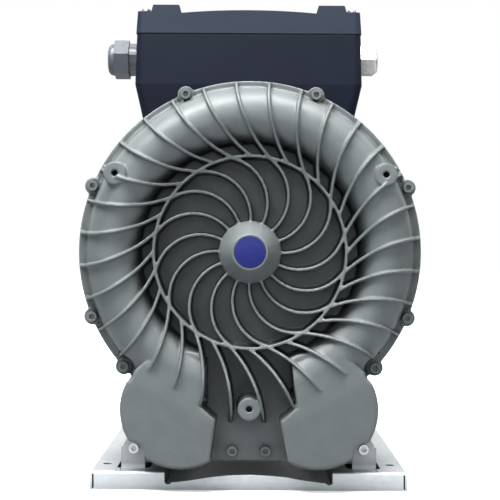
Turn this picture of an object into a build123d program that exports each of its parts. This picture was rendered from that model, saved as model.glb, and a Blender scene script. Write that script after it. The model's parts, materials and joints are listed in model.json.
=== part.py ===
from build123d import *
import os
from math import acos, atan2, cos, degrees, hypot, radians, sin

# Single-stage side channel blower, standing on a folded sheet steel base.
#
# Millimetres, +Z up. The shaft runs along Y and the ribbed cover faces -Y. The origin is on the
# floor, under the middle of the overall length and width. Depths are measured along the shaft
# from the joint face between the cover and the housing: "behind" towards the motor, "ahead"
# towards the cover's hub.

os.makedirs("parts", exist_ok=True)

# ---------------------------------------------------------------- driving dimensions
axis_height = 235.0          # shaft above the floor
front_reach = 50.0           # tops of the cover's ribs, ahead
rear_reach = 294.0           # back of the fan cover, behind

running_gap = 0.05           # radial play of seals and bearings
fit_gap = 0.3                # between pieces that are only screwed together
clearance = 0.3              # added to a screw's radius for a through hole

# casing
casing_wall = 4.0
flange_radius = 170.0
cover_flange = 8.0           # thickness of the cover's flange
housing_flange = 10.0
ear_circle = 168.7           # radius through the flange screws
ear_radius = 8.3
ear_height = 9.5
ear_angles = [22.5, 67.5, 112.5, 157.5, 202.5, 222.5, 317.5, 337.5]
lobe_ears = 5                # first of the two ears that stand beside the lobes
tool_pocket = 13.0           # radius cleared round the screws beside the lobes

channel_circle = 134.0       # radius from the shaft to the middle of the side channel
channel_bore = 22.0
channel_straight = 19.0      # straight part of the channel's walls
channel_start = -62.0        # where the side channel begins and ends, anticlockwise
channel_end = 242.0

# ribs of the cover
ring_radius = 93.8
ring_top = 35.0
rib_thickness = 2.8
outer_rib_count = 32
outer_rib_bow = 119.35       # radius of the arc that each outer rib follows
outer_rib_offset = 204.0     # from the shaft to the centre of that arc
outer_rib_bearing = -30.8    # direction of that centre for the first rib
inner_rib_count = 16
inner_rib_bow = 44.6
inner_rib_offset = 55.4
inner_rib_bearing = 52.5
rib_rise = 5.0               # ribs above the back of the channel
rib_root = 0.6               # how far a rib's end stays short of its neighbour's edge

# lobes, web and bosses of the casing
lobe_x = 67.0
lobe_z = -153.0
lobe_radius = 58.0
lobe_face = 38.0
lobe_round = 4.0
lobe_trim = 42.0             # inner wall of the chambers in the lobes, from the middle
web_level = 8.0
apron_bottom = -204.0
apron_screw_x = 16.5
apron_screw_z = -197.0
boss_circle = 150.8
boss_radius = 11.1
boss_face = 46.0
boss_angles = [30, 150, 270]
boss_thread_depth = 14.0

# hub of the cover
hub_radius = 30.6
hub_edge = 25.0
nose_radius = 17.2
nose_face = 45.0
badge_radius = 15.1
badge_seat = 1.6             # depth of the badge's recess
badge_dome = 1.2

# screws, radii and heights
m6 = 3.0
m6_head = 5.0
m6_head_height = 6.0
m6_socket = 2.9              # across the corners of the hexagon socket, as a radius
casing_screw = 24.0          # lengths under the head
silencer_screw = 15.0
tab_screw = 16.0
m5 = 2.5
m5_head = 4.7
m5_head_height = 3.4

# shaft line
bearing_bore = 12.5          # 25 x 52 x 15 deep groove ball bearing
bearing_outside = 26.0
bearing_width = 15.0
bearing_ball = 3.95
bearing_pitch = 19.3
bearing_balls = 9
seal_width = 7.0
side_gap = 0.5               # between neighbours along the shaft
shaft_shoulder = 17.5
impeller_seat = 14.0
rotor_seat = 19.0
fan_seat = 10.0
key_width = 8.0
key_height = 7.0

# impeller
impeller_gap = 0.4           # to the casing, along the shaft and at the rim
impeller_radius = 155.6
impeller_width = 30.0
impeller_blades = 44
blade_thickness = 2.0
impeller_hub = 29.0
impeller_web = 7.0
pocket_inner = 113.5
pocket_outer = 153.6
pocket_depth = 13.8

# motor
motor_start = 42.0
motor_length = 194.0
frame_bore = 64.0
frame_skin = 70.0
fin_tip = 86.0
fin_count = 36
fin_thickness = 2.4
tie_circle = 76.0
tie_lug = 7.0
register_depth = 4.0
tie_thread = 6.0             # depth of the tie rods' threads in the housing
stack_start = 70.0
stack_length = 120.0
rotor_radius = 37.5
air_gap = 0.6
slot_count = 24
shield_flange = 12.0
box_pad_half = 46.0
fan_radius = 76.0
fan_blades = 9
fan_hub = 16.0
fan_cover_radius = 92.0
fan_cover_sheet = 2.0
fan_cover_overlap = 8.0

# silencers and ports
silencer_start = 78.0
silencer_length = 122.0
silencer_radius = 54.0
silencer_wall = 4.0
silencer_ear_circle = 61.0
silencer_ear = 8.0
silencer_ear_angles = (100, 205, 345)
silencer_flange = 8.0
port_flange = 22.0
port_core = 22.4             # core of the G 1 1/2 thread
port_collar = 30.0

# base
base_half_width = 157.0
base_front = 15.0            # ahead
base_depth = 295.0
base_height = 18.0
base_sheet = 2.5
strip_inner = 83.0
wave_low = 7.0               # front flange beside the strips
wave_high = 15.0             # front flange in the middle
tab_x = 115.0
tab_z = -197.0
tab_radius = 11.0
tab_behind = 5.0             # front face of the front tabs, behind
tab_recess = 14.0
foot_hole = 4.5
foot_x = 144.0
foot_inset = 40.0

# terminal box
box_x = -2.5
box_front = 80.0
box_half_width = 122.0
box_depth = 160.0
box_corner = 9.0
box_wall = 4.0
box_foot = 112.0             # underside, above the shaft
box_knee = 179.0             # where the straight walls begin
box_rim = 231.5
box_taper = 15.0
box_draft = 1.5              # straight walls lean in by this at the rim
gasket_thickness = 2.0
lid_edge = 256.7
lid_crown = 258.3
lid_valley = 255.1
lid_band = 263.6
band_inner = 72.5
band_outer = 104.5
lid_screw_x = 111.0
lid_screw_y = 69.0           # from the middle of the box
gland_z = 210.0
gland_behind = 118.0
gland_stub = 14.0            # threaded stub through the wall
dome_share = 0.8             # dome nut's round end, of its hexagon and of its nose
wall_lean = 1.6              # the locknut stands off the wall, which leans inwards
left_gland_thread = 16.0     # M32
right_gland_thread = 12.5    # M25

# ---------------------------------------------------------------- derived sizes and places
joint_y = (front_reach - rear_reach) / 2
channel_outside = channel_bore + casing_wall
chamber_depth = impeller_width + 2 * impeller_gap
housing_rear = chamber_depth + casing_wall
front_bearing = -(seal_width + 2 * side_gap + bearing_width)
motor_end = motor_start + motor_length
rear_bearing = motor_end
silencer_end = silencer_start + silencer_length
port_face = silencer_end + port_flange
bearing_seat = 26.5          # depth of the seat for the front bearing and its spring
seal_seat = chamber_depth + casing_wall + 1
circlip = 1.2
shaft_front = front_bearing - circlip - 0.5
hub_front = impeller_gap + side_gap
hub_rear = impeller_gap + impeller_width
key_length = 24.0
fan_front = rear_bearing + bearing_width + 4
fan_rear = fan_front + 26
fan_cover_front = motor_end + shield_flange - fan_cover_overlap
fan_cover_screw_seat = fan_cover_radius - fan_cover_sheet - fit_gap
grille_circles = (72, 60, 48, 36, 24)
grille_bar = 6.0
grille_slot = 6.0
slot_circle = 50.5
slot_depth = 17.0
slot_width = 5.5
winding_overhang = 22.0
box_pad_inset = 37.0
cable_way = 22.0
box_middle = box_front + box_depth / 2
pad_middle = motor_start + motor_length / 2
floor_screws_at = [(box_x + x, pad_middle + y) for x in (-34, 34) for y in (-32, 32)]
shaft_line = Axis((0, 0, axis_height), (0, -1, 0))


def across(depth):
    """Plane across the shaft at a depth behind the joint face, seen from the front."""
    return Plane(origin=(0, joint_y + depth, axis_height), x_dir=(1, 0, 0), z_dir=(0, -1, 0))


def level(height):
    """Horizontal plane at a height above the shaft, its y axis pointing rearwards."""
    return Plane(origin=(0, joint_y, axis_height + height), x_dir=(1, 0, 0), z_dir=(0, 0, 1))


def floor_level(height):
    """Horizontal plane at a height above the floor, its y axis pointing rearwards."""
    return Plane(origin=(0, joint_y, height), x_dir=(1, 0, 0), z_dir=(0, 0, 1))


def radial(angle):
    """Plane through the shaft at an angle: x is the radius and y the depth behind."""
    turn = radians(angle)
    return Plane(origin=(0, joint_y, axis_height), x_dir=(cos(turn), 0, sin(turn)),
                 z_dir=(-sin(turn), 0, cos(turn)))


def gland_plane(side):
    """Outer face of a side wall of the terminal box, at its cable gland."""
    return Plane(origin=(box_x + side * box_half_width, joint_y + gland_behind,
                         axis_height + gland_z), x_dir=(0, -1, 0), z_dir=(side, 0, 0))


def polar(radius, angle):
    """Point at a radius and an angle, anticlockwise from +X as seen from the front."""
    return (radius * cos(radians(angle)), radius * sin(radians(angle)))


def both_sides(x, y):
    """The point and its mirror image in the middle plane."""
    return [(x, y), (-x, y)]


def save(piece, name):
    """Label a finished piece and write it."""
    piece.part.label = name
    export_step(piece.part, f"parts/{name}.step")


def drum(radius, start, end, bore=0.0, mode=Mode.ADD):
    """Cylinder or tube round the shaft between two depths behind the joint face."""
    with BuildSketch(across(start)) as section:
        Circle(radius)
        if bore:
            Circle(bore, mode=Mode.SUBTRACT)
    extrude(section.sketch, amount=start - end, mode=mode)


def studs(places, radius, start, end, mode=Mode.ADD):
    """Cylinders parallel to the shaft at the places, between two depths behind."""
    with BuildSketch(across(start)) as section:
        with Locations(*places):
            Circle(radius)
    extrude(section.sketch, amount=start - end, mode=mode)


def turned(points, angle=0, arc=360, mode=Mode.ADD):
    """Shape turned round the shaft from (radius, depth behind) points."""
    with BuildSketch(radial(angle)) as section:
        Polygon(*points, align=None)
    revolve(section.sketch, axis=shaft_line, revolution_arc=arc, mode=mode)


def rib_sweep(offset, bow, radius):
    """Angle along a rib's arc, from the line of centres, where it meets a radius."""
    return degrees(acos((offset**2 + bow**2 - radius**2) / (2 * offset * bow)))


def rib_line(offset, bearing, bow, inner, outer, side):
    """Arc of a curved rib between two radii, bending to one side."""
    first = side * rib_sweep(offset, bow, inner)
    last = side * rib_sweep(offset, bow, outer)
    return CenterArc(polar(offset, bearing), bow, bearing + 180 + first, last - first)


def rib_point(offset, bearing, bow, radius, side):
    """Point of a curved rib at one radius."""
    x, z = polar(bow, bearing + 180 + side * rib_sweep(offset, bow, radius))
    centre_x, centre_z = polar(offset, bearing)
    return (centre_x + x, centre_z + z)


def channel_profile(bore, start, straight, side):
    """Section of the side channel, closed by a half circle, on one side of the joint face."""
    left = channel_circle - bore
    right = channel_circle + bore
    corner = side * straight
    with BuildLine() as outline:
        Polyline((left, corner), (left, start), (right, start), (right, corner))
        ThreePointArc((right, corner), (channel_circle, corner + side * bore), (left, corner))
    make_face(outline.edges())


flange_screws = [polar(ear_circle, angle) for angle in ear_angles]
apron_screws = both_sides(apron_screw_x, apron_screw_z)
tabs = both_sides(tab_x, tab_z)
lobes = both_sides(lobe_x, lobe_z)
bosses = [polar(boss_circle, angle) for angle in boss_angles]
ties = [polar(tie_circle, angle) for angle in (45, 135, 225, 315)]
silencer_ears = [polar(silencer_ear_circle, angle) for angle in silencer_ear_angles]
silencer_screws = [(side * (lobe_x + x), lobe_z + z) for side in (1, -1) for x, z in silencer_ears]


def casing_outline():
    """Outline shared by the cover and the housing: flange, ears, apron and lobes."""
    Circle(flange_radius)
    with Locations(*flange_screws):
        Circle(ear_radius)
    with Locations((0, (apron_bottom + lobe_z) / 2)):
        Rectangle(2 * lobe_x, lobe_z - apron_bottom)
    with Locations(*lobes):
        Circle(lobe_radius)


def chambers():
    """The two silencer chambers inside the lobes."""
    with Locations(*lobes):
        Circle(lobe_radius - casing_wall)
    with Locations((0, lobe_z)):
        Rectangle(2 * lobe_trim, 3 * lobe_radius, mode=Mode.SUBTRACT)


# ---------------------------------------------------------------- front cover
crest_angles = (100, 55, 22)
crest = [(channel_circle + x, channel_straight + y)
         for x, y in [polar(channel_outside + rib_rise, a) for a in crest_angles]]

with BuildPart() as outer_rib:
    with BuildSketch():
        SlotArc(rib_line(outer_rib_offset, outer_rib_bearing, outer_rib_bow,
                         ring_radius + rib_root, flange_radius, -1), rib_thickness)
    extrude(amount=front_reach)
    with BuildSketch(Plane.XZ):
        with BuildLine():
            Line((ring_radius, ring_top), crest[0])
            ThreePointArc(*crest)
            Polyline(crest[2], (flange_radius - rib_root, cover_flange + 2),
                     (flange_radius - rib_root, 0), (ring_radius, 0), (ring_radius, ring_top))
        make_face()
    revolve(axis=Axis.Z, mode=Mode.INTERSECT)

with BuildPart() as inner_rib:
    with BuildSketch():
        SlotArc(rib_line(inner_rib_offset, inner_rib_bearing, inner_rib_bow,
                         hub_radius - rib_thickness, ring_radius - rib_root, 1), rib_thickness)
    extrude(amount=ring_top)
    with BuildSketch(Plane.XZ):
        Polygon((0, 0), (ring_radius, 0), (ring_radius, ring_top - rib_root),
                (hub_radius, hub_edge + rib_root), (0, hub_edge + rib_root), align=None)
    revolve(axis=Axis.Z, mode=Mode.INTERSECT)

with BuildPart() as lobe:
    Cylinder(lobe_radius, lobe_face, align=(Align.CENTER, Align.CENTER, Align.MIN))
    fillet(lobe.edges().group_by(Axis.Z)[-1], lobe_round)

left_rib = outer_rib_bearing + 22 * 360 / outer_rib_count
web_left = [rib_point(outer_rib_offset, left_rib, outer_rib_bow, r, -1) for r in (100, 128, 156)]

with BuildPart() as front_cover:
    with BuildSketch(across(0)):
        casing_outline()
    extrude(amount=cover_flange)
    with BuildSketch(radial(0)):
        channel_profile(channel_outside, 0, channel_straight, -1)
    revolve(axis=shaft_line)
    with Locations(across(0)):
        with Locations(*lobes):
            add(lobe.part)
    # the sunk web where the side channel is interrupted
    with BuildSketch(across(-web_level)):
        with BuildLine():
            Spline(*web_left)
            Polyline(web_left[-1], (-32, -162), (-37, -199), (-37, -220), (37, -220), (37, -199),
                     (30, -163), (45.5, -149), (39, -90), web_left[0])
        make_face()
    extrude(amount=front_reach, mode=Mode.SUBTRACT)
    # ring, hub and bosses
    drum(ring_radius + rib_thickness / 2, -ring_top, 0, ring_radius - rib_thickness / 2)
    turned([(0, 0), (hub_radius, 0), (hub_radius, -hub_edge), (nose_radius, -nose_face),
            (0, -nose_face)])
    studs(bosses, boss_radius, -boss_face, 0)
    studs(flange_screws, ear_radius, -ear_height, 0)
    with Locations(across(0)):
        with PolarLocations(0, outer_rib_count):
            add(outer_rib.part)
        with PolarLocations(0, inner_rib_count):
            add(inner_rib.part)
    # room for the tools and the base tabs beside the lobes
    studs(flange_screws[lobe_ears:lobe_ears + 2], tool_pocket, -front_reach, -ear_height,
          Mode.SUBTRACT)
    studs(tabs, tab_recess, -front_reach, 0, Mode.SUBTRACT)
    # hollow side: channel, silencer chambers, bearing seat
    with BuildSketch(radial(channel_start)) as channel:
        channel_profile(channel_bore, 0, channel_straight, -1)
    revolve(channel.sketch, axis=shaft_line, revolution_arc=channel_end - channel_start,
            mode=Mode.SUBTRACT)
    with BuildSketch(across(0)):
        chambers()
    extrude(amount=lobe_face - casing_wall, mode=Mode.SUBTRACT)
    drum(bearing_outside, -bearing_seat, 0, mode=Mode.SUBTRACT)
    # holes
    studs(flange_screws + apron_screws, m6 + clearance, -front_reach, 0, Mode.SUBTRACT)
    studs(bosses, m6, -boss_face, boss_thread_depth - boss_face, Mode.SUBTRACT)
    drum(badge_radius + running_gap, -nose_face, badge_seat - nose_face, mode=Mode.SUBTRACT)
save(front_cover, "front_cover")

# ---------------------------------------------------------------- housing
with BuildPart() as housing:
    with BuildSketch(across(0)):
        casing_outline()
    extrude(amount=-housing_flange)
    with BuildSketch(radial(0)):
        channel_profile(channel_outside, 0, chamber_depth + channel_straight, 1)
    revolve(axis=shaft_line)
    drum(channel_circle, 0, housing_rear)
    studs(lobes, lobe_radius, 0, silencer_start)
    studs(flange_screws, ear_radius, 0, 2 * housing_flange)
    studs(silencer_screws, silencer_ear, silencer_start - 2 * silencer_flange, silencer_start)
    studs(tabs, tab_radius, tab_behind, 3 * housing_flange)
    # motor seat, joined to the side channel by webs
    drum(fin_tip, 0, motor_start, frame_skin - tie_lug)
    with BuildSketch(across(housing_rear - 1)):
        with PolarLocations((fin_tip + channel_circle) / 2, 12, start_angle=15):
            Rectangle(channel_circle - fin_tip + 4, casing_wall)
    extrude(amount=housing_rear - 1 - motor_start)
    drum(bearing_outside + 2 * casing_wall, 0, seal_seat + seal_width + 1)
    # hollow side
    drum(impeller_radius + impeller_gap, 0, chamber_depth, mode=Mode.SUBTRACT)
    with BuildSketch(radial(channel_start)) as channel:
        channel_profile(channel_bore, chamber_depth - 1, chamber_depth + channel_straight, 1)
    revolve(channel.sketch, axis=shaft_line, revolution_arc=channel_end - channel_start,
            mode=Mode.SUBTRACT)
    with BuildSketch(across(0)):
        chambers()
    extrude(amount=-silencer_start, mode=Mode.SUBTRACT)
    # shaft seal, holes
    drum(shaft_shoulder + impeller_gap, 0, silencer_start, mode=Mode.SUBTRACT)
    drum(bearing_outside, seal_seat, silencer_start, mode=Mode.SUBTRACT)
    studs(flange_screws + apron_screws, m6, 0, 2 * housing_flange, Mode.SUBTRACT)
    studs(tabs, tab_recess, 0, tab_behind + base_sheet, Mode.SUBTRACT)
    studs(tabs, m6, 0, tab_behind + base_sheet + tab_screw, Mode.SUBTRACT)
    studs(ties, m6, motor_start - tie_thread, motor_start, Mode.SUBTRACT)
    studs(silencer_screws, m6, silencer_start - silencer_flange, silencer_start, Mode.SUBTRACT)
save(housing, "housing")

# ---------------------------------------------------------------- shaft line
with BuildPart() as shaft:
    turned([(0, shaft_front), (bearing_bore, shaft_front), (bearing_bore, hub_front),
            (impeller_seat, hub_front), (impeller_seat, hub_rear), (shaft_shoulder, hub_rear),
            (shaft_shoulder, stack_start), (rotor_seat, stack_start),
            (rotor_seat, stack_start + stack_length),
            (shaft_shoulder, stack_start + stack_length), (shaft_shoulder, rear_bearing),
            (bearing_bore, rear_bearing), (bearing_bore, fan_front), (fan_seat, fan_front),
            (fan_seat, fan_rear + 4), (0, fan_rear + 4)])
    with BuildSketch(level(impeller_seat - key_height / 2)):
        with Locations((0, (hub_front + hub_rear) / 2)):
            SlotOverall(key_length, key_width, rotation=90)
    extrude(amount=key_height, mode=Mode.SUBTRACT)
save(shaft, "shaft")

with BuildPart() as impeller_key:
    with BuildSketch(level(impeller_seat - key_height / 2)):
        with Locations((0, (hub_front + hub_rear) / 2)):
            SlotOverall(key_length, key_width, rotation=90)
    extrude(amount=key_height)
save(impeller_key, "impeller_key")

# blades stand in a half round pocket on each face of the rim
pocket_circle = (pocket_inner + pocket_outer) / 2
pocket_half = (pocket_outer - pocket_inner) / 2
half_pitch = 180 / impeller_blades

with BuildPart() as impeller:
    drum(impeller_radius, impeller_gap, impeller_gap + impeller_width,
         channel_circle - channel_bore - fit_gap)
    drum(pocket_inner, (impeller_gap + hub_rear - impeller_web) / 2,
         (impeller_gap + hub_rear + impeller_web) / 2)
    drum(impeller_hub, hub_front, hub_rear)
    with BuildSketch(radial(0)) as pockets:
        with Locations((pocket_circle, impeller_gap),
                       (pocket_circle, impeller_gap + impeller_width)):
            Ellipse(pocket_half, pocket_depth)
    revolve(pockets.sketch, axis=shaft_line, mode=Mode.SUBTRACT)
    with BuildSketch(across(impeller_gap)) as blades:
        with PolarLocations(pocket_circle, impeller_blades, start_angle=half_pitch):
            Rectangle(2 * pocket_half + 2, blade_thickness)
    extrude(blades.sketch, amount=-impeller_width)
    drum(impeller_seat, 0, chamber_depth, mode=Mode.SUBTRACT)
    with BuildSketch(level(0)):
        with Locations((0, (hub_front + hub_rear) / 2)):
            Rectangle(key_width, impeller_width + 2)
    extrude(amount=impeller_seat + key_height / 2, mode=Mode.SUBTRACT)
save(impeller, "impeller")

with BuildPart() as spacer_sleeve:
    drum(impeller_seat + 1, front_bearing + bearing_width, hub_front, bearing_bore)
save(spacer_sleeve, "spacer_sleeve")

with BuildPart() as bearing_circlip:
    drum(impeller_seat + 1, front_bearing - circlip, front_bearing, bearing_bore)
save(bearing_circlip, "bearing_circlip")

with BuildPart() as preload_spring:
    outer = bearing_outside - running_gap
    inner = bearing_outside - casing_wall
    turned([(outer, front_bearing), (outer, front_bearing - 1), (inner, -bearing_seat),
            (inner, 1 - bearing_seat)])
save(preload_spring, "preload_spring")


def bearing(start, place):
    """Deep groove ball bearing: its rings and its set of balls in their cage."""
    middle = start + bearing_width / 2
    land = 2.6
    with BuildPart() as outer_ring:
        drum(bearing_outside, start, start + bearing_width, bearing_pitch + land)
        with BuildSketch(radial(0)) as groove:
            with Locations((bearing_pitch, middle)):
                Circle(bearing_ball + running_gap)
        revolve(groove.sketch, axis=shaft_line, mode=Mode.SUBTRACT)
    save(outer_ring, f"{place}_bearing_outer_ring")
    with BuildPart() as inner_ring:
        drum(bearing_pitch - land, start, start + bearing_width, bearing_bore)
        revolve(groove.sketch, axis=shaft_line, mode=Mode.SUBTRACT)
    save(inner_ring, f"{place}_bearing_inner_ring")
    with BuildPart() as balls:
        with BuildSketch(across(middle - bearing_ball / 2)) as cage:
            Circle(bearing_pitch + land / 2)
            Circle(bearing_pitch - land / 2, mode=Mode.SUBTRACT)
        extrude(cage.sketch, amount=-bearing_ball)
        with Locations(across(middle)):
            with PolarLocations(bearing_pitch, bearing_balls):
                Sphere(bearing_ball)
    save(balls, f"{place}_bearing_balls")


bearing(front_bearing, "front")
bearing(rear_bearing, "rear")


def shaft_seal(start, lip, name):
    """Radial shaft seal that runs on a radius of the lip."""
    with BuildPart() as seal:
        turned([(bearing_outside, start), (bearing_outside, start + seal_width),
                (lip + 2, start + seal_width), (lip + running_gap, start + seal_width - 2),
                (lip + running_gap, start + 2), (lip + 2, start + 1),
                (bearing_outside - 2, start + 1), (bearing_outside - 2, start)])
    save(seal, name)


shaft_seal(-seal_width - side_gap, impeller_seat + 1, "front_shaft_seal")
shaft_seal(seal_seat, shaft_shoulder, "rear_shaft_seal")

# ---------------------------------------------------------------- motor
with BuildPart() as motor_frame:
    with BuildSketch(across(motor_start)) as section:
        Circle(frame_skin)
        with PolarLocations((frame_skin + fin_tip) / 2 - 1, fin_count, start_angle=5):
            Rectangle(fin_tip - frame_skin + 2, fin_thickness)
        with Locations(*ties):
            Circle(tie_lug)
        Circle(frame_bore, mode=Mode.SUBTRACT)
    extrude(amount=-motor_length)
    with BuildSketch(across(motor_start + box_pad_inset)) as pad:
        with Locations((box_x, (frame_skin + box_foot) / 2 - casing_wall)):
            Rectangle(2 * box_pad_half, box_foot - frame_skin + 2 * casing_wall)
            Rectangle(2 * box_pad_half - 4 * casing_wall, box_foot, mode=Mode.SUBTRACT)
    extrude(amount=-(motor_length - 2 * box_pad_inset))
    with BuildSketch(level(box_foot)):
        with Locations((box_x, pad_middle)):
            Rectangle(2 * box_pad_half, motor_length - 2 * box_pad_inset)
            Circle(cable_way, mode=Mode.SUBTRACT)
        with Locations(*floor_screws_at):
            Circle(m6, mode=Mode.SUBTRACT)
    extrude(amount=-2 * casing_wall)
    drum(frame_bore, motor_start, motor_end, mode=Mode.SUBTRACT)
    studs(ties, m6 + clearance, motor_start, motor_end, Mode.SUBTRACT)
save(motor_frame, "motor_frame")

with BuildPart() as stator_core:
    with BuildSketch(across(stack_start)):
        Circle(frame_bore)
        Circle(rotor_radius + air_gap, mode=Mode.SUBTRACT)
        with PolarLocations(slot_circle, slot_count):
            SlotOverall(slot_depth, slot_width, mode=Mode.SUBTRACT)
    extrude(amount=-stack_length)
save(stator_core, "stator_core")

with BuildPart() as stator_winding:
    drum(slot_circle + slot_depth / 2, stack_start - winding_overhang, stack_start,
         slot_circle - slot_depth / 2 + 1)
    drum(slot_circle + slot_depth / 2, stack_start + stack_length,
         stack_start + stack_length + winding_overhang, slot_circle - slot_depth / 2 + 1)
    fillet(stator_winding.edges().filter_by(GeomType.CIRCLE), winding_overhang / 5)
    with BuildSketch(across(stack_start - 2)):
        with PolarLocations(slot_circle, slot_count):
            SlotOverall(slot_depth - 1, slot_width - 1)
    extrude(amount=-stack_length - 4)
save(stator_winding, "stator_winding")

with BuildPart() as rotor_core:
    drum(rotor_radius, stack_start, stack_start + stack_length, rotor_seat)
    drum(rotor_radius - 2, stack_start - 8, stack_start + stack_length + 8, rotor_radius - 14)
save(rotor_core, "rotor_core")

with BuildPart() as rear_end_shield:
    drum(frame_bore, motor_end - register_depth, motor_end, frame_bore - 6)
    drum(frame_skin + 8, motor_end, motor_end + shield_flange)
    studs(ties, tie_lug, motor_end, motor_end + shield_flange)
    drum(bearing_outside + 6, motor_end, rear_bearing + bearing_width + 3)
    with BuildSketch(across(motor_end)):
        with PolarLocations(0, 4):
            with Locations((fan_cover_screw_seat / 2, 0)):
                Rectangle(fan_cover_screw_seat, 4 * m6)
    extrude(amount=-shield_flange)
    drum(bearing_outside, motor_end - register_depth, rear_bearing + bearing_width + side_gap,
         mode=Mode.SUBTRACT)
    drum(bearing_outside - 4, motor_end, motor_end + 2 * bearing_width, mode=Mode.SUBTRACT)
    studs(ties, m6 + clearance, motor_end, motor_end + shield_flange, Mode.SUBTRACT)
    for angle in (0, 90, 180, 270):
        x, z = polar(1, angle)
        hole = Plane(origin=(0, joint_y + motor_end + shield_flange / 2, axis_height),
                     z_dir=(x, 0, z))
        with BuildSketch(hole.offset(fan_cover_screw_seat - 10)) as thread:
            Circle(m5)
        extrude(thread.sketch, amount=10, mode=Mode.SUBTRACT)
save(rear_end_shield, "rear_end_shield")

with BuildPart() as tie_rods:
    studs(ties, m6 - running_gap, motor_start - tie_thread, motor_end + shield_flange)
    studs(ties, m6_head, motor_end + shield_flange, motor_end + shield_flange + m6_head_height)
save(tie_rods, "tie_rods")

with BuildPart() as cooling_fan:
    drum(fan_hub, fan_front, fan_rear, fan_seat)
    drum(fan_radius, fan_front + 6, fan_front + 8.5, fan_seat)
    with BuildSketch(across(fan_front + 8)):
        with PolarLocations((fan_radius + fan_hub) / 2 - 1, fan_blades):
            Rectangle(fan_radius - fan_hub, 2.5)
    extrude(amount=fan_front + 8 - fan_rear)
    drum(fan_seat, fan_front, fan_rear, mode=Mode.SUBTRACT)
save(cooling_fan, "cooling_fan")

with BuildPart() as fan_clip:
    drum(fan_seat + 4, fan_rear, fan_rear + circlip, fan_seat)
save(fan_clip, "fan_clip")

with BuildPart() as fan_cover:
    turned([(fan_cover_radius, fan_cover_front), (fan_cover_radius, rear_reach - 10),
            (fan_cover_radius - 10, rear_reach), (0, rear_reach),
            (0, rear_reach - fan_cover_sheet), (fan_cover_radius - 10, rear_reach - fan_cover_sheet),
            (fan_cover_radius - fan_cover_sheet, rear_reach - 10),
            (fan_cover_radius - fan_cover_sheet, fan_cover_front)])
    with BuildSketch(across(rear_reach + 1)):
        for radius in grille_circles:
            Circle(radius + grille_slot / 2)
            Circle(radius - grille_slot / 2, mode=Mode.SUBTRACT)
        with PolarLocations(0, 2):
            Rectangle(2 * fan_cover_radius, grille_bar, mode=Mode.SUBTRACT)
            Rectangle(grille_bar, 2 * fan_cover_radius, mode=Mode.SUBTRACT)
    extrude(amount=fan_cover_sheet + 2, mode=Mode.SUBTRACT)
    for angle in (0, 90, 180, 270):
        x, z = polar(1, angle)
        hole = Plane(origin=(0, joint_y + motor_end + shield_flange / 2, axis_height),
                     z_dir=(x, 0, z))
        with BuildSketch(hole.offset(fan_cover_radius - 5)) as screw_hole:
            Circle(m5 + clearance)
        extrude(screw_hole.sketch, amount=10, mode=Mode.SUBTRACT)
save(fan_cover, "fan_cover")

with BuildPart() as fan_cover_screws:
    for angle in (0, 90, 180, 270):
        x, z = polar(1, angle)
        seat = Plane(origin=(0, joint_y + motor_end + shield_flange / 2, axis_height),
                     z_dir=(x, 0, z)).offset(fan_cover_radius)
        with BuildSketch(seat) as shank:
            Circle(m5 - running_gap)
        extrude(shank.sketch, amount=fan_cover_screw_seat - 9 - fan_cover_radius)
        with BuildSketch(seat) as head:
            Circle(m5_head)
        extrude(head.sketch, amount=m5_head_height)
save(fan_cover_screws, "fan_cover_screws")

# ---------------------------------------------------------------- silencers and ports
def silencer(side, name):
    """Silencer behind one lobe: body, acoustic insert and threaded port flange."""
    place = (side * lobe_x, lobe_z)
    ears = silencer_screws[:3] if side > 0 else silencer_screws[3:]
    with BuildPart() as body:
        studs([place], silencer_radius, silencer_start, silencer_end)
        studs([place] + ears, silencer_ear, silencer_start, silencer_start + silencer_flange)
        studs(ears, silencer_ear, silencer_end - silencer_flange, silencer_end)
        studs([place], lobe_radius, silencer_start, silencer_start + silencer_flange)
        studs([place], lobe_radius, silencer_end - silencer_flange, silencer_end)
        studs([place], silencer_radius - silencer_wall, silencer_start, silencer_end,
              Mode.SUBTRACT)
        studs(ears, m6 + clearance, silencer_start, silencer_start + silencer_flange,
              Mode.SUBTRACT)
        studs(ears, m6, silencer_end - silencer_flange, silencer_end, Mode.SUBTRACT)
    save(body, f"silencer_{name}")
    with BuildPart() as insert:
        studs([place], silencer_radius - silencer_wall - fit_gap, silencer_start + 1,
              silencer_end)
        studs([place], port_core + silencer_wall, silencer_start, silencer_end, Mode.SUBTRACT)
    save(insert, f"silencer_insert_{name}")
    foot = (side * tab_x, tab_z)
    with BuildPart() as flange:
        studs([place], lobe_radius, silencer_end, silencer_end + silencer_flange)
        studs(ears, silencer_ear, silencer_end, silencer_end + silencer_flange)
        studs([place], port_collar, silencer_end, port_face)
        studs([foot], tab_radius, silencer_end + silencer_flange / 2, port_face)
        with BuildSketch(across(silencer_end + silencer_flange / 2)):
            middle = ((place[0] + foot[0]) / 2, (place[1] + foot[1]) / 2)
            slant = degrees(atan2(foot[1] - place[1], foot[0] - place[0]))
            with Locations(middle):
                Rectangle(hypot(foot[0] - place[0], foot[1] - place[1]), tab_radius,
                          rotation=slant)
        extrude(amount=-(port_flange - silencer_flange / 2))
        studs([place], port_core, silencer_end, port_face, Mode.SUBTRACT)
        studs([foot], m6, silencer_end, port_face, Mode.SUBTRACT)
        studs(ears, m6 + clearance, silencer_end, port_face, Mode.SUBTRACT)
    save(flange, f"port_flange_{name}")


silencer(-1, "left")
silencer(1, "right")

# ---------------------------------------------------------------- sheet steel base
base_back = base_depth - base_front
window_depth = 36.0
window_half = 17.0
rear_strip = 40.0
flange_slit = 1.5
inner_width = 2 * (base_half_width - base_sheet)

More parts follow.
